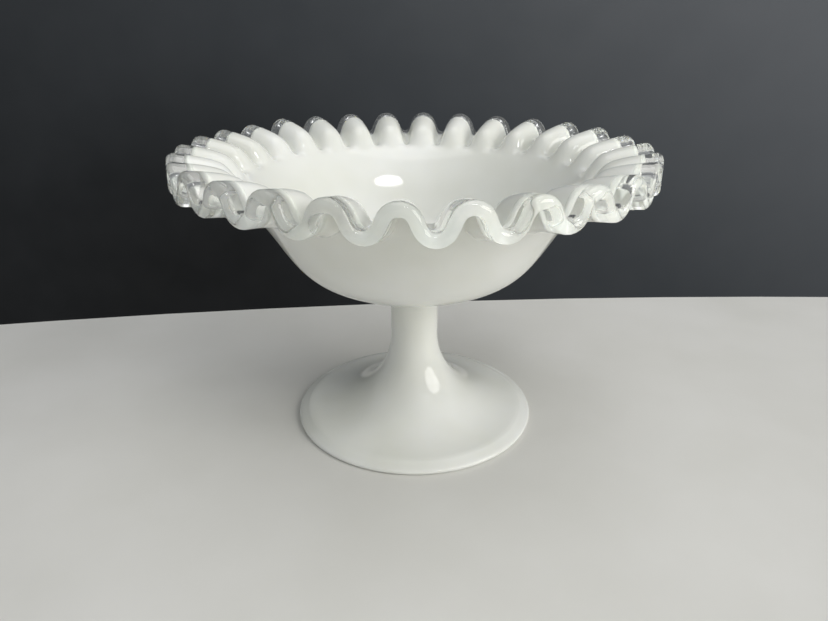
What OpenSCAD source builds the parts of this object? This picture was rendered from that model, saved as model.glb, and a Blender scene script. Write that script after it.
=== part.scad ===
// Low footed comport: a round opal glass bowl with a crimped, flared brim and
// a clear glass edge, standing on an opal glass stem and round foot.
// Lengths are in millimetres and angles in degrees. +Z is up, and the origin
// is the middle of the face that rests on the table.

/* [Whole comport] */
// Width across the clear edge
overall_width = 152.4; // [140:0.2:166]
// Height of the middle of the clear edge above the table
rim_height = 93.3; // [90:0.1:98]

/* [Foot and stem] */
// Width of the round foot
foot_width = 86; // [80:1:92]
// Height at which the foot's sloping border begins
foot_edge_height = 3.2; // [2.4:0.1:3.6]
// Width of the sloping border around the foot
foot_edge_width = 3.8; // [3:0.1:5]
// Width of the flat ring that rests on the table
rest_ring_width = 7; // [4:0.5:10]
// Depth of the shallow recess under the foot
recess_depth = 3.5; // [2:0.5:3.5]
// Thickness of the stem where it is straight
stem_width = 16.6; // [14:0.2:18]
// Height at which the straight stem begins to flare into the foot
flare_height = 31.5; // [28:0.5:36]

/* [Bowl] */
// Height of the bowl's underside, where the stem joins it
bowl_base_height = 50.6; // [49:0.2:53]
// Radius of the bowl's outside where the brim begins
bowl_radius = 53; // [51:0.5:55]
// Height of the bowl's outside where the brim begins
bowl_edge_height = 80; // [78:0.5:82]
// Steepness of the bowl's side where the brim begins
bowl_edge_slope = 52; // [46:1:58]
// Thickness of the bowl's wall
bowl_wall = 3.4; // [2.6:0.2:3.6]

/* [Crimped brim] */
// Number of crimps around the edge
crimps = 29; // [20:1:30]
// Height of each crimp, from hollow to crest, at the middle of the edge
crimp_height = 7.3; // [3:0.1:7.4]
// How full and round the crests and hollows are, with steep flanks between
crimp_fullness = 0.22; // [0.16:0.01:0.26]
// How far the hand-made crimps drift from even spacing, as a share of a crimp
crimp_drift = 0.27; // [0:0.01:0.4]
// Direction in which the crimps drift
drift_direction = -121; // [-180:1:180]
// Turn of the crimps around the bowl
crimp_turn = 9.6; // [0:0.1:18]
// Slope of the brim at its edge
brim_slope = 9; // [6:1:20]
// Share of the brim, from the bowl outwards, that stays smooth
smooth_share = 0.18; // [0:0.02:0.2]
// Share of the brim, next to the smooth one, over which the crimps open up
opening_share = 0.34; // [0.3:0.02:0.8]

/* [Clear edge] */
// Thickness of the clear glass edge
edge_thickness = 3.6; // [3:0.1:4]
// Share of the brim, from its edge inwards, that is clear glass
clear_share = 0.14; // [0.1:0.01:0.3]

/* [Hidden] */
$fn = 96;
opal_color = [0.90, 0.91, 0.88];
clear_color = [0.84, 0.88, 0.87, 0.45];

// Points along each curved outline, and around each crimp of the brim.
curve_steps = 18;
edge_steps = 6;
columns_per_crimp = 10;
brim_steps = 7;
clear_steps = 2;
nose_steps = 4;
columns = crimps * columns_per_crimp;

// Pulls are the lengths of a curve's handles, or their shares of a size.
foot_radius = foot_width / 2;
stem_radius = stem_width / 2;
foot_top_radius = foot_radius - foot_edge_width;
foot_top_slope = 5;
foot_border_slope = 26;
flare_stem_pull = 8.1;
flare_foot_pull = 26.8;
foot_edge_pull = 0.6;
foot_side_share = 0.3;
foot_shoulder_share = 0.6;
foot_under_round = 1.4;
under_pull = 0.4;
recess_side_pull = [0.85, 0.8];
recess_middle_pull = [0.4, 1];

// The bowl's underside starts flat, just wider than the stem.
stem_ledge = 0.4;
bowl_flat_radius = stem_radius + stem_ledge;
bowl_floor_pull = 33.3;
bowl_side_pull = 21.1;

crimp_reach = crimp_height / 2;
edge_half = edge_thickness / 2;
edge_radius = overall_width / 2 - edge_half;
brim_pull_share = 0.45;

// ---- curves ----

// Point at share t of a cubic curve through p[0] and p[3].
function curve(p, t) =
    pow(1 - t, 3) * p[0] + 3 * pow(1 - t, 2) * t * p[1]
    + 3 * (1 - t) * t * t * p[2] + pow(t, 3) * p[3];

// Direction in which the same curve runs at share t.
function curve_way(p, t) =
    3 * pow(1 - t, 2) * (p[1] - p[0])
    + 6 * (1 - t) * t * (p[2] - p[1]) + 3 * t * t * (p[3] - p[2]);

function unit(v) = v / norm(v);
function left_of(v) = unit([-v[1], v[0]]);
function along(slope) = [cos(slope), sin(slope)];

// Points on a curve, moved sideways by gap.
function outline(p, steps, gap = 0) =
    [for (i = [0 : steps])
        curve(p, i / steps) + gap * left_of(curve_way(p, i / steps))];

function reversed(list) = [for (i = [len(list) - 1 : -1 : 0]) list[i]];

// ---- foot and stem ----

foot_top = [foot_top_radius, foot_edge_height];

// From the straight stem down and out to the foot's sloping border.
flare_curve = [
    [stem_radius, flare_height],
    [stem_radius, flare_height - flare_stem_pull],
    foot_top + flare_foot_pull * along(180 - foot_top_slope),
    foot_top
];

// Down the sloping border and round to its widest line.
foot_side_height = foot_edge_height * foot_side_share;
foot_edge_curve = [
    foot_top,
    foot_top + foot_edge_width * foot_edge_pull * along(-foot_border_slope),
    [foot_radius, foot_edge_height * foot_shoulder_share],
    [foot_radius, foot_side_height]
];

// From the widest line in to the flat ring on the table.
under_edge_curve = [
    [foot_radius, foot_side_height],
    [foot_radius, foot_side_height * under_pull],
    [foot_radius - foot_under_round * under_pull, 0],
    [foot_radius - foot_under_round, 0]
];

// From the flat ring up to the middle of the shallow recess.
ring_inner_radius = foot_radius - foot_under_round - rest_ring_width;
recess_curve = [
    [ring_inner_radius, 0],
    [ring_inner_radius * recess_side_pull[0], recess_depth * recess_side_pull[1]],
    [ring_inner_radius * recess_middle_pull[0], recess_depth * recess_middle_pull[1]],
    [0, recess_depth]
];

module pedestal() {
    color(opal_color)
    rotate_extrude()
    polygon(concat(
        [[0, bowl_base_height], [stem_radius, bowl_base_height]],
        outline(flare_curve, curve_steps),
        outline(foot_edge_curve, edge_steps),
        outline(under_edge_curve, edge_steps),
        outline(recess_curve, edge_steps)
    ));
}

// ---- bowl ----

bowl_edge = [bowl_radius, bowl_edge_height];

bowl_curve = [
    [bowl_flat_radius, bowl_base_height],
    [bowl_flat_radius + bowl_floor_pull, bowl_base_height],
    bowl_edge - bowl_side_pull * along(bowl_edge_slope),
    bowl_edge
];

module bowl() {
    color(opal_color)
    rotate_extrude()
    polygon(concat(
        [[0, bowl_base_height]],
        outline(bowl_curve, curve_steps),
        reversed(outline(bowl_curve, curve_steps, bowl_wall)),
        [[0, bowl_base_height + bowl_wall]]
    ));
}

// ---- crimped brim and clear edge ----

// The middle of the brim's wall, from the bowl's edge out to the rim.
brim_start = bowl_edge + bowl_wall / 2 * left_of(along(bowl_edge_slope));
brim_end = [edge_radius, rim_height];
brim_pull = norm(brim_end - brim_start) * brim_pull_share;
brim_curve = [
    brim_start,
    brim_start + brim_pull * along(bowl_edge_slope),
    brim_end - brim_pull * along(brim_slope),
    brim_end
];

// Half the wall's thickness at share s of the brim.
function half_wall(s) = bowl_wall / 2 + (edge_half - bowl_wall / 2) * s;

// How much of the crimping is reached at share s, and how fast that grows.
function opened(s) = min(1, max(0, s - smooth_share) / opening_share);
function growth(s) = pow(opened(s), 2) * (3 - 2 * opened(s));
function growth_rate(s) = 6 * opened(s) * (1 - opened(s)) / opening_share;

// Columns are even in the wave. Its hand-made drift moves them around the bowl.
drift_rounds = 5;
function drift(angle) = 360 * crimp_drift * cos(angle - drift_direction);
function settled(wave, angle, rounds) = rounds == 0
    ? angle
    : settled(wave, (wave - drift(angle)) / crimps + crimp_turn, rounds - 1);
function column_wave(c) = 360 * c / columns_per_crimp;
waves = [for (c = [0 : columns - 1]) column_wave(c)];
angles = [for (c = [0 : columns - 1])
    settled(waves[c], waves[c] / crimps + crimp_turn, drift_rounds)];

// How fast the wave runs around the bowl at a column, in waves per turn.
function wave_rate(c) = crimps
    - 2 * PI * crimp_drift * sin(angles[c] - drift_direction);

// How far round a column swings towards the flank of its crimp, in radians.
function swing(c) = crimp_fullness * sin(2 * waves[c]) / wave_rate(c);
function spread(s, c) = 1 + 2 * crimp_fullness * cos(2 * waves[c]) * growth(s);

// Middle of the wall in column c, as [out, around, up] from the column's angle.
function middle(s, c) =
    let (p = curve(brim_curve, s))
    [p[0], 0, p[1] + crimp_reach * growth(s) * cos(waves[c])];

// The way along the wall, outwards, and the way around it.
function outwards(s, c) =
    let (p = curve(brim_curve, s), w = curve_way(brim_curve, s))
    [
        w[0],
        p[0] * swing(c) * growth_rate(s),
        w[1] + crimp_reach * growth_rate(s) * cos(waves[c])
    ];
function edgewise(s, c) = unit([
    0,
    curve(brim_curve, s)[0] * spread(s, c),
    -crimp_reach * growth(s) * sin(waves[c]) * wave_rate(c)
]);
function upward(s, c) = unit(cross(outwards(s, c), edgewise(s, c)));

// From [out, around, up] in column c to x, y and z.
function placed(p, s, c) =
    let (angle = angles[c] + swing(c) * growth(s) * 180 / PI)
    [
        p[0] * cos(angle) - p[1] * sin(angle),
        p[0] * sin(angle) + p[1] * cos(angle),
        p[2]
    ];

function skin(s, c, side) =
    placed(middle(s, c) + side * half_wall(s) * upward(s, c), s, c);

// Point on the rounded outer edge, at an angle above its middle.
function nose(turn, c) =
    let (up = upward(1, c), out = cross(edgewise(1, c), up))
    placed(middle(1, c) + edge_half * (cos(turn) * out + sin(turn) * up), 1, c);

seam = 1 - clear_share;
brim_ring = [for (i = [0 : brim_steps]) seam * i / brim_steps];
clear_ring = [for (i = [0 : clear_steps]) seam + clear_share * i / clear_steps];

// One closed cross-section of the brim, and one of the clear edge.
function brim_section(c) = concat(
    [for (s = brim_ring) skin(s, c, 1)],
    [for (s = reversed(brim_ring)) skin(s, c, -1)]
);
function clear_section(c) = concat(
    [for (s = clear_ring) skin(s, c, 1)],
    [for (i = [1 : nose_steps - 1]) nose(90 - 180 * i / nose_steps, c)],
    [for (s = reversed(clear_ring)) skin(s, c, -1)]
);

// A closed ring through one cross-section in every column.
module ring_of(sections) {
    size = len(sections[0]);
    count = len(sections);
    points = [for (section = sections) for (p = section) p];
    // Two triangles between neighbouring points of neighbouring sections.
    faces = [for (c = [0 : count - 1]) for (i = [0 : size - 1])
        let (
            a = c * size + i,
            b = c * size + (i + 1) % size,
            d = ((c + 1) % count) * size + i,
            e = ((c + 1) % count) * size + (i + 1) % size
        )
        for (face = [[a, d, b], [b, d, e]]) face];
    polyhedron(points = points, faces = faces);
}

module crimped_brim() {
    color(opal_color)
    ring_of([for (c = [0 : columns - 1]) brim_section(c)]);
}

module clear_edge() {
    color(clear_color)
    ring_of([for (c = [0 : columns - 1]) clear_section(c)]);
}

pedestal();
bowl();
crimped_brim();
clear_edge();
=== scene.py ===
import math

import bmesh
import bpy
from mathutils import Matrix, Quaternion, Vector, noise


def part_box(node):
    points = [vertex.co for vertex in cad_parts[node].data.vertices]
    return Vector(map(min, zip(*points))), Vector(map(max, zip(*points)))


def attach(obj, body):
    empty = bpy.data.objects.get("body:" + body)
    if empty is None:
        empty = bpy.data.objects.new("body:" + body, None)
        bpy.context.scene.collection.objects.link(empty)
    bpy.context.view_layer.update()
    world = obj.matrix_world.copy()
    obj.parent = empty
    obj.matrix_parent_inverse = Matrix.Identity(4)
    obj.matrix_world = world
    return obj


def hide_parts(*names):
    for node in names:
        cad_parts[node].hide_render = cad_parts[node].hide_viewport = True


# A low footed comport of opal glass: a bowl with a crimped, flared brim, a clear
# glass edge gathered onto the brim, and a turned stem and foot. Metres, Z up.

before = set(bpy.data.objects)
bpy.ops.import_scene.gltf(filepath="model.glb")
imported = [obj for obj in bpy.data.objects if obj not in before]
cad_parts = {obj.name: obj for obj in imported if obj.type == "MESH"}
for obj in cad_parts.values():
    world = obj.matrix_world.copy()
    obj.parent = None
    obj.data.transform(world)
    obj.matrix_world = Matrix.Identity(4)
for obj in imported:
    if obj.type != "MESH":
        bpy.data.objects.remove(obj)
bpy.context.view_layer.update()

MM = 0.001

# ---------------------------------------------------------------- sizes
foot_low, foot_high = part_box("pedestal")
bowl_low, bowl_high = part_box("bowl")
edge_low, edge_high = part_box("clear_edge")

EDGE_HALF = 1.8 * MM
RIM_RADIUS = (edge_high.x - edge_low.x) / 2 - EDGE_HALF
RIM_HEIGHT = (edge_high.z + edge_low.z) / 2
CRIMP_REACH = 3.65 * MM

FOOT_RADIUS = (foot_high.x - foot_low.x) / 2
FOOT_EDGE_HEIGHT = 3.2 * MM
FOOT_EDGE_WIDTH = 3.8 * MM
FOOT_TOP_SLOPE = math.radians(5)
FOOT_BORDER_SLOPE = math.radians(26)
FOOT_BORDER_PULL = 0.6 * FOOT_EDGE_WIDTH
FOOT_SHOULDER = 0.6 * FOOT_EDGE_HEIGHT
FOOT_WIDEST = 0.3 * FOOT_EDGE_HEIGHT
FOOT_UNDER_ROUND = 1.4 * MM
UNDER_PULL = 0.4
REST_RING = 7.0 * MM
RECESS_DEPTH = 3.5 * MM
RECESS_SIDE_PULL = (0.85, 0.8)
RECESS_MIDDLE_PULL = 0.4
STEM_RADIUS = 8.3 * MM
FLARE_HEIGHT = 31.5 * MM
FLARE_DROP = 8.1 * MM
FLARE_SPREAD = 26.8 * MM

BOWL_BASE = bowl_low.z
STEM_LEDGE = 0.4 * MM
BOWL_FLAT = STEM_RADIUS + STEM_LEDGE
BOWL_FLOOR_PULL = 33.3 * MM
BOWL_SIDE_PULL = 21.1 * MM
BOWL_EDGE = (53.0 * MM, 80.0 * MM)
BOWL_EDGE_SLOPE = math.radians(52)
WALL = 3.4 * MM

CRIMPS = 29
CRIMP_TURN = math.radians(9.6)
CRIMP_DRIFT = 0.27 * 2 * math.pi
DRIFT_WAY = math.radians(-121)
CRIMP_FULLNESS = 0.22
BRIM_SLOPE = math.radians(9)
SMOOTH_SHARE = 0.18
OPENING_SHARE = 0.34
BRIM_PULL_SHARE = 0.45
# Worked by hand, the crimps differ a little in size and the rim wanders in height.
SIZE_VARIATION = 0.07
SIZE_LOBES, SIZE_SEED = 40, 3.1
RIM_WANDER = 0.35 * MM
RIM_LOBES, RIM_SEED = 9, 7.7

# The clear glass starts at the seam, a share of the brim. The opal glass ends in a
# rounded nose, and the clear glass reaches back beside it as a buried tongue.
SEAM = 0.86
OPAL_NOSE = 1.2 * MM
SEAM_OVERLAP = 0.012
TONGUE_SHARE = 0.03
TONGUE_DEPTH = 0.4 * MM
PROUD = 0.03 * MM

# Columns around the brim: enough for each crimp to read as a smooth wave.
AROUND = CRIMPS * 22
FOOT_STEPS = 192

# Steps along each part of the outlines.
STEM_STEPS, FLARE_STEPS, BORDER_STEPS, UNDER_STEPS, RECESS_STEPS = 8, 48, 12, 8, 24
BOWL_STEPS, BRIM_STEPS, CLEAR_STEPS = 40, 22, 10
OPAL_NOSE_STEPS, CLEAR_END_STEPS = 10, 20
# Closer points than this are one point: a pole, or the two ends of a full turn.
MERGE_WITHIN = 0.0002 * MM


# ---------------------------------------------------------------- curves
def add(a, b, share=1.0):
    return (a[0] + share * b[0], a[1] + share * b[1])


def along(slope):
    return (math.cos(slope), math.sin(slope))


def curve(p, t):
    """Point at share t of a cubic curve."""
    k = ((1 - t) ** 3, 3 * (1 - t) ** 2 * t, 3 * (1 - t) * t * t, t ** 3)
    return tuple(sum(k[i] * p[i][j] for i in range(4)) for j in range(2))


def curve_way(p, t):
    """Direction and speed of the curve at share t."""
    k = (3 * (1 - t) ** 2, 6 * (1 - t) * t, 3 * t * t)
    return tuple(sum(k[i] * (p[i + 1][j] - p[i][j]) for i in range(3))
                 for j in range(2))


def beside(p, t, gap):
    """Point on the curve at share t, moved to its left by gap."""
    way = curve_way(p, t)
    size = math.hypot(*way)
    return add(curve(p, t), (-way[1] / size, way[0] / size), gap)


def outline(p, steps, gap=0.0):
    return [beside(p, i / steps, gap) for i in range(steps + 1)]


# ---------------------------------------------------------------- crimping
BRIM_START = add(BOWL_EDGE, along(BOWL_EDGE_SLOPE + math.pi / 2), WALL / 2)
BRIM_END = (RIM_RADIUS, RIM_HEIGHT)
BRIM_PULL = BRIM_PULL_SHARE * math.dist(BRIM_START, BRIM_END)
BRIM = (
    BRIM_START,
    add(BRIM_START, along(BOWL_EDGE_SLOPE), BRIM_PULL),
    add(BRIM_END, along(BRIM_SLOPE), -BRIM_PULL),
    BRIM_END,
)


def half_wall(s):
    return WALL / 2 + (EDGE_HALF - WALL / 2) * s


def unevenness(angle, seed, lobes):
    """A smooth wander around the bowl, from about -1 to 1."""
    size = lobes / (2 * math.pi)
    return 2 * noise.noise(Vector((size * math.cos(angle),
                                   size * math.sin(angle), seed)))


def crimped(s, u, v, angle):
    """A point u outwards and v above the middle of the brim's wall at share s."""
    wave = CRIMPS * (angle - CRIMP_TURN) + CRIMP_DRIFT * math.cos(angle - DRIFT_WAY)
    rate = CRIMPS - CRIMP_DRIFT * math.sin(angle - DRIFT_WAY)
    grown = min(1.0, max(0.0, s - SMOOTH_SHARE) / OPENING_SHARE)
    growth = grown * grown * (3 - 2 * grown)
    growth_rate = 6 * grown * (1 - grown) / OPENING_SHARE
    reach = CRIMP_REACH * (
        1 + SIZE_VARIATION * unevenness(angle, SIZE_SEED, SIZE_LOBES))
    point, way = curve(BRIM, s), curve_way(BRIM, s)
    # The columns gather on the flanks, so that crests and hollows are full and round.
    swing = CRIMP_FULLNESS * math.sin(2 * wave) / rate
    turned_by = angle + swing * growth
    spread = 1 + 2 * CRIMP_FULLNESS * math.cos(2 * wave) * growth
    outwards = Vector((way[0], point[0] * swing * growth_rate,
                       way[1] + reach * growth_rate * math.cos(wave)))
    edgewise = Vector((0, point[0] * spread,
                       -reach * growth * math.sin(wave) * rate)).normalized()
    upward = outwards.cross(edgewise).normalized()
    lift = RIM_WANDER * unevenness(angle, RIM_SEED, RIM_LOBES) * grown
    p = Vector((point[0], 0, point[1] + lift + reach * growth * math.cos(wave)))
    p += edgewise.cross(upward) * u + upward * v
    return Vector((p.x * math.cos(turned_by) - p.y * math.sin(turned_by),
                   p.x * math.sin(turned_by) + p.y * math.cos(turned_by), p.z))


# ---------------------------------------------------------------- meshes
def finished(name, bm, material, body="root"):
    """A smooth object at the origin, with its seam closed and faces outwards."""
    bmesh.ops.remove_doubles(bm, verts=bm.verts, dist=MERGE_WITHIN)
    bmesh.ops.recalc_face_normals(bm, faces=bm.faces)
    for face in bm.faces:
        face.smooth = True
    mesh = bpy.data.meshes.new(name)
    bm.to_mesh(mesh)
    bm.free()
    mesh.materials.append(material)
    obj = bpy.data.objects.new(name, mesh)
    bpy.context.scene.collection.objects.link(obj)
    if body:
        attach(obj, body)
    return obj


def flat(s, u, v):
    """The same point before the brim is crimped, as (out, up)."""
    way = curve_way(BRIM, s)
    size = math.hypot(*way)
    return add(beside(BRIM, s, v), (way[0] / size, way[1] / size), u)


def turned(name, profile, steps, material, closed=False):
    """Spins a profile about +Z. A point is (out, up) where it stays as turned, which
    is marked by a share of -1, or (s, u, v) in the brim's wall, where the crimping
    then moves it."""
    bm = bmesh.new()
    share = bm.verts.layers.float.new("share")
    out = bm.verts.layers.float.new("out")
    over = bm.verts.layers.float.new("over")
    verts = []
    for point in profile:
        brim = len(point) == 3
        x, z = flat(*point) if brim else point
        vert = bm.verts.new((x, 0, z))
        vert[share], vert[out], vert[over] = point if brim else (-1, 0, 0)
        verts.append(vert)
    row = verts + verts[:1] if closed else verts
    edges = [bm.edges.new(pair) for pair in zip(row, row[1:])]
    bmesh.ops.spin(bm, geom=verts + edges, cent=(0, 0, 0), axis=(0, 0, 1),
                   angle=2 * math.pi, steps=steps, use_merge=True,
                   use_duplicate=False)
    for vert in bm.verts:
        if vert[share] >= 0:
            angle = math.atan2(vert.co.y, vert.co.x)
            vert.co = crimped(vert[share], vert[out], vert[over], angle)
    return finished(name, bm, material)


# ---------------------------------------------------------------- materials
def linear(code, alpha=1.0):
    """An sRGB hex colour as linear values."""
    values = [int(code[i:i + 2], 16) / 255 for i in (1, 3, 5)]
    return [v / 12.92 if v <= 0.04045 else ((v + 0.055) / 1.055) ** 2.4
            for v in values] + [alpha]


def node(tree, kind, inputs=(), stops=(), **settings):
    """Adds a node. An input is a value, or another node's output to link. A stop of
    a colour ramp is its position and its sRGB colour."""
    made = tree.nodes.new(kind)
    for key, value in settings.items():
        setattr(made, key, value)
    for key, value in dict(inputs).items():
        if isinstance(value, bpy.types.NodeSocket):
            tree.links.new(value, made.inputs[key])
        else:
            made.inputs[key].default_value = value
    for i, (position, code) in enumerate(stops):
        ramp = made.color_ramp.elements
        stop = ramp[i] if i < 2 else ramp.new(position)
        stop.position, stop.color = position, linear(code)
    return made


def new_material(name):
    material = bpy.data.materials.new(name)
    material.use_nodes = True
    material.node_tree.nodes.clear()
    return material, material.node_tree


# Most of a noise pattern's values lie between these two.
NOISE_LOW, NOISE_HIGH = 0.35, 0.65


def opal_glass():
    """Opal soda glass, pressed and blown, then fire polished: dense white with a
    faint warm drift, light soaking a few millimetres in, and a wet-looking gloss
    that ripples slightly where the tool marks melted away."""
    material, tree = new_material("opal_soda_glass_fire_polished")
    place = node(tree, "ShaderNodeTexCoord").outputs["Object"]
    drift = node(tree, "ShaderNodeTexNoise", {"Vector": place, "Scale": 1 / (30 * MM)})
    white = node(tree, "ShaderNodeValToRGB", {"Fac": drift.outputs["Fac"]},
                 stops=((NOISE_LOW, "#E6E7E0"), (NOISE_HIGH, "#EEEFEB")))
    polish = node(tree, "ShaderNodeTexNoise", {"Vector": place, "Scale": 1 / (12 * MM)})
    gloss = node(tree, "ShaderNodeMapRange", {
        "Value": polish.outputs["Fac"], "From Min": NOISE_LOW, "From Max": NOISE_HIGH,
        "To Min": 0.04, "To Max": 0.07})
    waves = node(tree, "ShaderNodeTexNoise", {
        "Vector": place, "Scale": 1 / (16 * MM), "Detail": 1.0})
    ripple = node(tree, "ShaderNodeBump", {
        "Height": waves.outputs["Fac"], "Distance": 0.05 * MM})
    glass = node(tree, "ShaderNodeBsdfPrincipled", {
        "Base Color": white.outputs["Color"],
        "Roughness": gloss.outputs["Result"],
        "IOR": 1.5,
        "Subsurface Weight": 0.35,
        "Subsurface Radius": (1.0, 0.95, 0.85),
        "Subsurface Scale": 3 * MM,
        "Normal": ripple.outputs["Normal"],
    })
    node(tree, "ShaderNodeOutputMaterial", {"Surface": glass.outputs["BSDF"]})
    return material


def clear_glass():
    """Clear soda glass, gathered onto the edge, crimped and fire polished: it has
    no colour of its own, fine cords in it bend what shows through, and light
    passes through it to the opal glass behind."""
    material, tree = new_material("clear_soda_glass_fire_polished")
    place = node(tree, "ShaderNodeTexCoord").outputs["Object"]
    drift = node(tree, "ShaderNodeTexNoise", {"Vector": place, "Scale": 1 / (20 * MM)})
    tint = node(tree, "ShaderNodeValToRGB", {"Fac": drift.outputs["Fac"]},
                stops=((NOISE_LOW, "#FAFCFB"), (NOISE_HIGH, "#FEFEFE")))
    polish = node(tree, "ShaderNodeTexNoise", {"Vector": place, "Scale": 1 / (10 * MM)})
    gloss = node(tree, "ShaderNodeMapRange", {
        "Value": polish.outputs["Fac"], "From Min": NOISE_LOW, "From Max": NOISE_HIGH,
        "To Min": 0.0, "To Max": 0.03})
    cords = node(tree, "ShaderNodeTexNoise", {
        "Vector": place, "Scale": 1 / (4 * MM), "Detail": 1.0})
    ripple = node(tree, "ShaderNodeBump", {
        "Height": cords.outputs["Fac"], "Distance": 0.015 * MM})
    glass = node(tree, "ShaderNodeBsdfPrincipled", {
        "Base Color": tint.outputs["Color"],
        "Roughness": gloss.outputs["Result"],
        "IOR": 1.51,
        "Transmission Weight": 0.93,
        "Normal": ripple.outputs["Normal"],
    })
    through = node(tree, "ShaderNodeBsdfTransparent", {"Color": linear("#DDE1DF")})
    lamplight = node(tree, "ShaderNodeLightPath").outputs["Is Shadow Ray"]
    mixed = node(tree, "ShaderNodeMixShader", {
        0: lamplight, 1: glass.outputs["BSDF"], 2: through.outputs["BSDF"]})
    node(tree, "ShaderNodeOutputMaterial", {"Surface": mixed.outputs["Shader"]})
    return material


def laminate():
    """White laminate, pressed: a pale even face with a soft broad sheen."""
    material, tree = new_material("white_laminate_pressed")
    place = node(tree, "ShaderNodeTexCoord").outputs["Object"]
    drift = node(tree, "ShaderNodeTexNoise", {
        "Vector": place, "Scale": 1 / (60 * MM), "Detail": 4.0})
    white = node(tree, "ShaderNodeValToRGB", {"Fac": drift.outputs["Fac"]},
                 stops=((NOISE_LOW, "#D9D8D3"), (NOISE_HIGH, "#DFDEDA")))
    wear = node(tree, "ShaderNodeTexNoise", {"Vector": place, "Scale": 1 / (25 * MM)})
    sheen = node(tree, "ShaderNodeMapRange", {
        "Value": wear.outputs["Fac"], "From Min": NOISE_LOW, "From Max": NOISE_HIGH,
        "To Min": 0.38, "To Max": 0.46})
    grain = node(tree, "ShaderNodeTexNoise", {
        "Vector": place, "Scale": 1 / (3 * MM), "Detail": 1.0})
    pressed = node(tree, "ShaderNodeBump", {
        "Height": grain.outputs["Fac"], "Distance": 0.01 * MM})
    face = node(tree, "ShaderNodeBsdfPrincipled", {
        "Base Color": white.outputs["Color"],
        "Roughness": sheen.outputs["Result"],
        "Normal": pressed.outputs["Normal"],
    })
    node(tree, "ShaderNodeOutputMaterial", {"Surface": face.outputs["BSDF"]})
    return material


def wall_paint():
    """Dark grey emulsion, rolled: matt, with painted light: its colour grows paler to
    the upper right as a painted light falloff, and a painted shadow darkens it low and
    left of the middle.
    """
    material, tree = new_material("dark_emulsion_rolled_painted_light")
    place = node(tree, "ShaderNodeTexCoord").outputs["Object"]
    # Painted light falloff: the gradient climbs to the right at 54 degrees and runs
    # over 1.5 metres.
    climb = node(tree, "ShaderNodeMapping", {
        "Vector": place, "Location": (0.64, 0, 0), "Rotation": (0, math.radians(54), 0),
        "Scale": (0.67, 0.67, 0.67)}, vector_type="POINT")
    slope = node(tree, "ShaderNodeTexGradient", {"Vector": climb.outputs["Vector"]})
    # A painted shadow, 0.45 metres in radius, low and left of the middle.
    low_left = node(tree, "ShaderNodeMapping", {
        "Vector": place, "Location": (0.8, 0, 0.77), "Scale": (2.2, 0, 2.2)},
        vector_type="POINT")
    painted_shadow = node(tree, "ShaderNodeTexGradient", {"Vector": low_left.outputs["Vector"]},
                 gradient_type="SPHERICAL")
    # Painted shade: the painted shadow is taken off the painted light falloff.
    shade = node(tree, "ShaderNodeMath", {
        0: painted_shadow.outputs["Fac"], 1: -0.38, 2: slope.outputs["Fac"]},
        operation="MULTIPLY_ADD")
    # The wall's grey carries the painted light falloff and the painted shadow.
    grey = node(tree, "ShaderNodeValToRGB", {"Fac": shade.outputs["Value"]},
                stops=((0.0, "#040608"), (1.0, "#66696D"), (0.2, "#15181B"),
                       (0.64, "#3D4145")))
    patches = node(tree, "ShaderNodeTexNoise", {"Vector": place, "Scale": 10.0})
    matt = node(tree, "ShaderNodeMapRange", {
        "Value": patches.outputs["Fac"], "From Min": NOISE_LOW, "From Max": NOISE_HIGH,
        "To Min": 0.75, "To Max": 0.85})
    stipple = node(tree, "ShaderNodeTexNoise", {
        "Vector": place, "Scale": 1 / (2 * MM), "Detail": 1.0})
    rolled = node(tree, "ShaderNodeBump", {
        "Height": stipple.outputs["Fac"], "Distance": 0.1 * MM})
    paint = node(tree, "ShaderNodeBsdfPrincipled", {
        "Base Color": grey.outputs["Color"],
        "Roughness": matt.outputs["Result"],
        "Normal": rolled.outputs["Normal"],
    })
    node(tree, "ShaderNodeOutputMaterial", {"Surface": paint.outputs["BSDF"]})
    return material


# ---------------------------------------------------------------- the pieces
OPAL = opal_glass()
CLEAR = clear_glass()

foot_top = (FOOT_RADIUS - FOOT_EDGE_WIDTH, FOOT_EDGE_HEIGHT)
foot_side = (FOOT_RADIUS, FOOT_WIDEST)
ring_out = (FOOT_RADIUS - FOOT_UNDER_ROUND, 0.0)
ring_in = (ring_out[0] - REST_RING, 0.0)
recess_top = (0.0, RECESS_DEPTH)

pedestal = turned("pedestal_glass", [(0.0, BOWL_BASE), (STEM_RADIUS, BOWL_BASE)]
    + [(STEM_RADIUS, BOWL_BASE + (FLARE_HEIGHT - BOWL_BASE) * i / STEM_STEPS)
       for i in range(1, STEM_STEPS)]
    + outline(((STEM_RADIUS, FLARE_HEIGHT), (STEM_RADIUS, FLARE_HEIGHT - FLARE_DROP),
               add(foot_top, along(math.pi - FOOT_TOP_SLOPE), FLARE_SPREAD),
               foot_top), FLARE_STEPS)
    + outline((foot_top, add(foot_top, along(-FOOT_BORDER_SLOPE), FOOT_BORDER_PULL),
               (FOOT_RADIUS, FOOT_SHOULDER), foot_side), BORDER_STEPS)[1:]
    + outline((foot_side, (FOOT_RADIUS, FOOT_WIDEST * UNDER_PULL),
               (FOOT_RADIUS - FOOT_UNDER_ROUND * UNDER_PULL, 0.0),
               ring_out), UNDER_STEPS)[1:]
    + outline((ring_in,
               (ring_in[0] * RECESS_SIDE_PULL[0], RECESS_DEPTH * RECESS_SIDE_PULL[1]),
               (ring_in[0] * RECESS_MIDDLE_PULL, RECESS_DEPTH),
               recess_top), RECESS_STEPS),
    FOOT_STEPS, OPAL)
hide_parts("pedestal")

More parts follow.
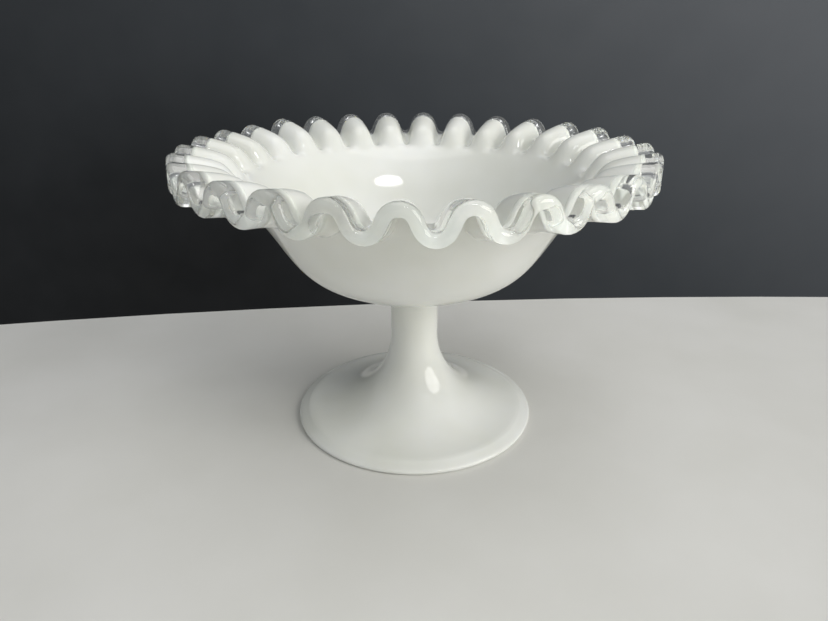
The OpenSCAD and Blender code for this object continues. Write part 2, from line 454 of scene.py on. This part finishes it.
bowl_curve = ((BOWL_FLAT, BOWL_BASE), (BOWL_FLAT + BOWL_FLOOR_PULL, BOWL_BASE),
              add(BOWL_EDGE, along(BOWL_EDGE_SLOPE), -BOWL_SIDE_PULL), BOWL_EDGE)
SEAM_HALF = half_wall(SEAM)
brim_shares = [SEAM * i / BRIM_STEPS for i in range(1, BRIM_STEPS + 1)]
nose_turns = [math.pi / 2 - math.pi * i / OPAL_NOSE_STEPS
              for i in range(1, OPAL_NOSE_STEPS)]

bowl = turned("bowl_glass", [(0.0, BOWL_BASE)]
    + outline(bowl_curve, BOWL_STEPS)
    + [(s, 0.0, -half_wall(s)) for s in brim_shares]
    + [(SEAM, OPAL_NOSE * math.cos(t), SEAM_HALF * math.sin(t))
       for t in reversed(nose_turns)]
    + [(s, 0.0, half_wall(s)) for s in reversed(brim_shares)]
    + list(reversed(outline(bowl_curve, BOWL_STEPS, WALL)))
    + [(0.0, BOWL_BASE + WALL)],
    AROUND, OPAL)
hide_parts("bowl", "crimped_brim")

# The clear band starts buried in the opal wall, comes out a hair proud of it and
# ends in a full round.
clear_shares = [SEAM - SEAM_OVERLAP + (1 - SEAM + SEAM_OVERLAP) * i / CLEAR_STEPS
                for i in range(CLEAR_STEPS + 1)]
clear_top = [(SEAM - TONGUE_SHARE, 0.0, SEAM_HALF - TONGUE_DEPTH)] + [
    (s, 0.0, half_wall(s) + PROUD) for s in clear_shares]
end_half = EDGE_HALF + PROUD
end_turns = [math.pi / 2 - math.pi * i / CLEAR_END_STEPS
             for i in range(1, CLEAR_END_STEPS)]
clear_edge = turned("clear_edge_glass", clear_top
    + [(1.0, end_half * math.cos(t), end_half * math.sin(t)) for t in end_turns]
    + [(s, u, -v) for s, u, v in reversed(clear_top)],
    AROUND, CLEAR, closed=True)
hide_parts("clear_edge")

# ---------------------------------------------------------------- the room
# The round table's far edge curves past the comport, in front of a dark wall.
TABLE_RADIUS = 2.1
TABLE_MIDDLE = Vector((0.183, -1.992, 0.0))
TABLE_THICKNESS = 0.03
TABLE_SEGMENTS = 256
WALL_PLACE = 1.1
WALL_HALF = 2.2
ROOM_GLOW = 0.43

bm = bmesh.new()
disc = bmesh.ops.create_circle(
    bm, cap_ends=True, segments=TABLE_SEGMENTS, radius=TABLE_RADIUS)
for vert in disc["verts"]:
    vert.co += TABLE_MIDDLE
sides = bmesh.ops.extrude_face_region(bm, geom=bm.faces[:])
for part in sides["geom"]:
    if isinstance(part, bmesh.types.BMVert):
        part.co.z -= TABLE_THICKNESS
table = finished("table", bm, laminate(), body=None)
# Flat faces keep the table's edge crisp.
for face in table.data.polygons:
    face.use_smooth = False

bm = bmesh.new()
bmesh.ops.create_grid(bm, x_segments=1, y_segments=1, size=WALL_HALF)
for vert in bm.verts:
    vert.co = Vector((vert.co.x, WALL_PLACE, vert.co.y))
wall = finished("wall", bm, wall_paint(), body=None)

world = bpy.data.worlds.new("room")
world.use_nodes = True
glow = world.node_tree.nodes["Background"]
glow.inputs["Color"].default_value = linear("#E8EBEE")
glow.inputs["Strength"].default_value = ROOM_GLOW
bpy.context.scene.world = world


AIM = Vector((0, 0, 70 * MM))


def area_light(name, bearing, height, distance, width, tall, watts, colour, roll=0):
    """A soft light aimed at the bowl. Bearing, height and the roll about its own aim
    are in degrees, and bearing 0 is behind the bowl, 90 to its right."""
    data = bpy.data.lights.new(name, "AREA")
    data.shape = "ELLIPSE"
    data.size, data.size_y = width, tall
    data.energy = watts
    data.color = linear(colour)[:3]
    b, h = math.radians(bearing), math.radians(height)
    way = Vector((math.sin(b) * math.cos(h), math.cos(b) * math.cos(h), math.sin(h)))
    lamp = bpy.data.objects.new(name, data)
    lamp.location = AIM + way * distance
    rolled = Quaternion((0, 0, 1), math.radians(roll))
    lamp.rotation_euler = (way.to_track_quat("Z", "Y") @ rolled).to_euler()
    lamp.visible_camera = False
    bpy.context.scene.collection.objects.link(lamp)
    return lamp


area_light("window", bearing=149, height=53.8, distance=1.3,
           width=0.46, tall=0.12, watts=1.9, colour="#FFFFFF", roll=-8)
area_light("ceiling", bearing=0, height=88, distance=1.8,
           width=1.6, tall=1.6, watts=8.5, colour="#FFFFFF")
area_light("side", bearing=120, height=25, distance=1.4,
           width=1.0, tall=0.9, watts=10.4, colour="#FFFDF8")
area_light("front", bearing=165, height=12, distance=1.5,
           width=1.2, tall=0.8, watts=0.9, colour="#FFFDF8")

# ---------------------------------------------------------------- the camera
CAMERA_PLACE = (-0.13 * MM, -217.2 * MM, 134.4 * MM)
CAMERA_DIP = math.radians(23.64)
camera_data = bpy.data.cameras.new("camera")
camera_data.lens = 28.88
camera_data.sensor_width = 36
camera_data.clip_start = 10 * MM
camera = bpy.data.objects.new("camera", camera_data)
camera.location = CAMERA_PLACE
camera.rotation_euler = (math.pi / 2 - CAMERA_DIP, 0, 0)
bpy.context.scene.collection.objects.link(camera)
bpy.context.scene.camera = camera
bpy.context.scene.view_settings.view_transform = "Standard"
